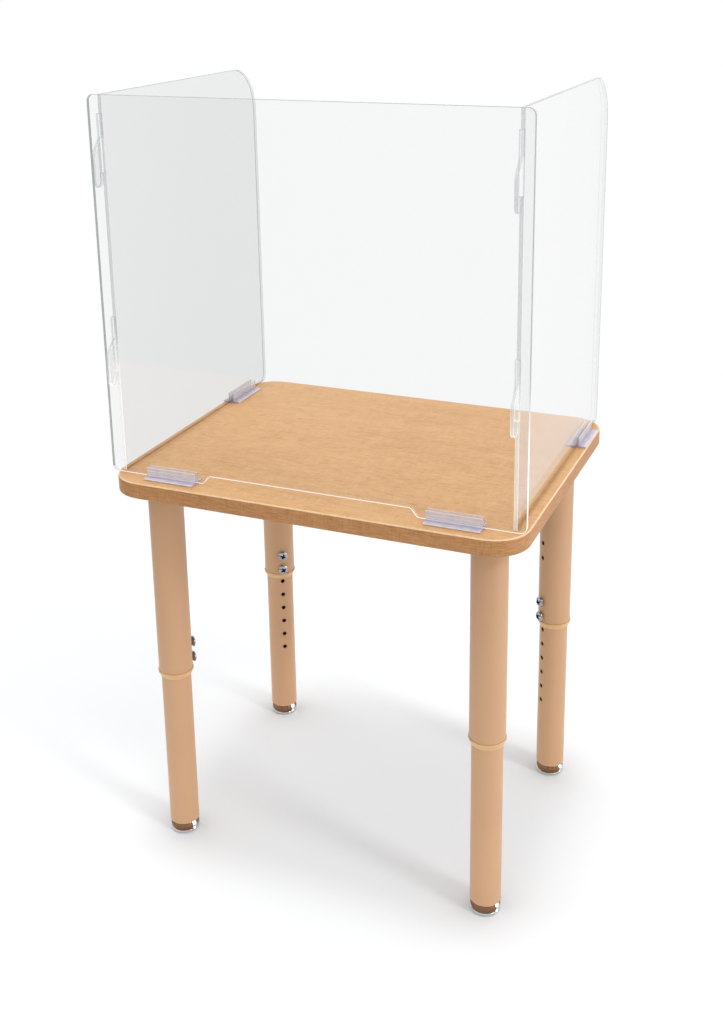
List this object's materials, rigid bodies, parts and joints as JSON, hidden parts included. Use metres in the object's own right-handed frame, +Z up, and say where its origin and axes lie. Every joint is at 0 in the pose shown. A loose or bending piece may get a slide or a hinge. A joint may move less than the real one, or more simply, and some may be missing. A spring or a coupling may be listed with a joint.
{
  "type": "study carrel",
  "caption": "Child-height study carrel: rectangular wood-look table on telescoping tube legs with a clear three-panel screen hooked together and held in clips.",
  "frame": {"origin": "on the floor, under the middle of the table top", "axes": "+Z up; -Y is the open front where the child sits, +Y the closed back of the screen; +X is the seated child's right"},
  "size_m": [0.612, 0.4826, 1.1398],
  "materials": {
    "laminate": "satin maple-look laminate",
    "core_board": "raw particle board",
    "backer": "plain backer sheet",
    "edge_band": "wood-grain edge band",
    "powder_coat": "tan powder coat",
    "collar_plastic": "moulded",
    "plated_screw": "bright plated",
    "insert_plastic": "moulded",
    "nickel": "bright nickel",
    "clear_acrylic": "clear polished sheet",
    "clip_plastic": "clear extrusion with a violet tint",
    "adhesive": "clear foam tape"
  },
  "bodies": {
    "table": {"top_laminate": "laminate", "top_core": "core_board", "top_backer": "backer", "edge_band": "edge_band", "mounting_plate_rear_left": "powder_coat", "upper_tube_rear_left": "powder_coat", "collar_rear_left": "collar_plastic", "clamp_screw_rear_left_1": "plated_screw", "clamp_screw_rear_left_2": "plated_screw", "plate_screw_rear_left_1": "plated_screw", "plate_screw_rear_left_2": "plated_screw", "plate_screw_rear_left_3": "plated_screw", "mounting_plate_rear_right": "powder_coat", "upper_tube_rear_right": "powder_coat", "collar_rear_right": "collar_plastic", "clamp_screw_rear_right_1": "plated_screw", "clamp_screw_rear_right_2": "plated_screw", "plate_screw_rear_right_1": "plated_screw", "plate_screw_rear_right_2": "plated_screw", "plate_screw_rear_right_3": "plated_screw", "mounting_plate_front_left": "powder_coat", "upper_tube_front_left": "powder_coat", "collar_front_left": "collar_plastic", "clamp_screw_front_left_1": "plated_screw", "clamp_screw_front_left_2": "plated_screw", "plate_screw_front_left_1": "plated_screw", "plate_screw_front_left_2": "plated_screw", "plate_screw_front_left_3": "plated_screw", "mounting_plate_front_right": "powder_coat", "upper_tube_front_right": "powder_coat", "collar_front_right": "collar_plastic", "clamp_screw_front_right_1": "plated_screw", "clamp_screw_front_right_2": "plated_screw", "plate_screw_front_right_1": "plated_screw", "plate_screw_front_right_2": "plated_screw", "plate_screw_front_right_3": "plated_screw", "clip_rear_left": "clip_plastic", "adhesive_pad_rear_left": "adhesive", "clip_rear_right": "clip_plastic", "adhesive_pad_rear_right": "adhesive", "clip_side_left": "clip_plastic", "adhesive_pad_side_left": "adhesive", "clip_side_right": "clip_plastic", "adhesive_pad_side_right": "adhesive"},
    "lower_leg_rear_left": {"lower_tube_rear_left": "powder_coat", "leg_insert_rear_left": "insert_plastic"},
    "glide_rear_left_body": {"glide_rear_left": "nickel"},
    "lower_leg_rear_right": {"lower_tube_rear_right": "powder_coat", "leg_insert_rear_right": "insert_plastic"},
    "glide_rear_right_body": {"glide_rear_right": "nickel"},
    "lower_leg_front_left": {"lower_tube_front_left": "powder_coat", "leg_insert_front_left": "insert_plastic"},
    "glide_front_left_body": {"glide_front_left": "nickel"},
    "lower_leg_front_right": {"lower_tube_front_right": "powder_coat", "leg_insert_front_right": "insert_plastic"},
    "glide_front_right_body": {"glide_front_right": "nickel"},
    "rear_screen": {"rear_panel": "clear_acrylic"},
    "left_screen": {"left_panel": "clear_acrylic"},
    "right_screen": {"right_panel": "clear_acrylic"}
  },
  "joints": [
    {"name": "leg_height_rear_left", "type": "slide", "parent": "table", "child": "lower_leg_rear_left", "axis": [0, 0, 1], "range_m": [0, 0.2286]},
    {"name": "glide_level_rear_left", "type": "slide", "parent": "lower_leg_rear_left", "child": "glide_rear_left_body", "axis": [0, 0, -1], "range_m": [0, 0.012]},
    {"name": "leg_height_rear_right", "type": "slide", "parent": "table", "child": "lower_leg_rear_right", "axis": [0, 0, 1], "range_m": [0, 0.2286]},
    {"name": "glide_level_rear_right", "type": "slide", "parent": "lower_leg_rear_right", "child": "glide_rear_right_body", "axis": [0, 0, -1], "range_m": [0, 0.012]},
    {"name": "leg_height_front_left", "type": "slide", "parent": "table", "child": "lower_leg_front_left", "axis": [0, 0, 1], "range_m": [0, 0.2286]},
    {"name": "glide_level_front_left", "type": "slide", "parent": "lower_leg_front_left", "child": "glide_front_left_body", "axis": [0, 0, -1], "range_m": [0, 0.012]},
    {"name": "leg_height_front_right", "type": "slide", "parent": "table", "child": "lower_leg_front_right", "axis": [0, 0, 1], "range_m": [0, 0.2286]},
    {"name": "glide_level_front_right", "type": "slide", "parent": "lower_leg_front_right", "child": "glide_front_right_body", "axis": [0, 0, -1], "range_m": [0, 0.012]},
    {"name": "screen_lift", "type": "slide", "parent": "table", "child": "rear_screen", "axis": [0, 0, 1], "range_m": [0, 0.05]},
    {"name": "left_panel_unhook", "type": "slide", "parent": "rear_screen", "child": "left_screen", "axis": [0, 0, 1], "range_m": [0, 0.026]},
    {"name": "right_panel_unhook", "type": "slide", "parent": "rear_screen", "child": "right_screen", "axis": [0, 0, 1], "range_m": [0, 0.026]}
  ]
}
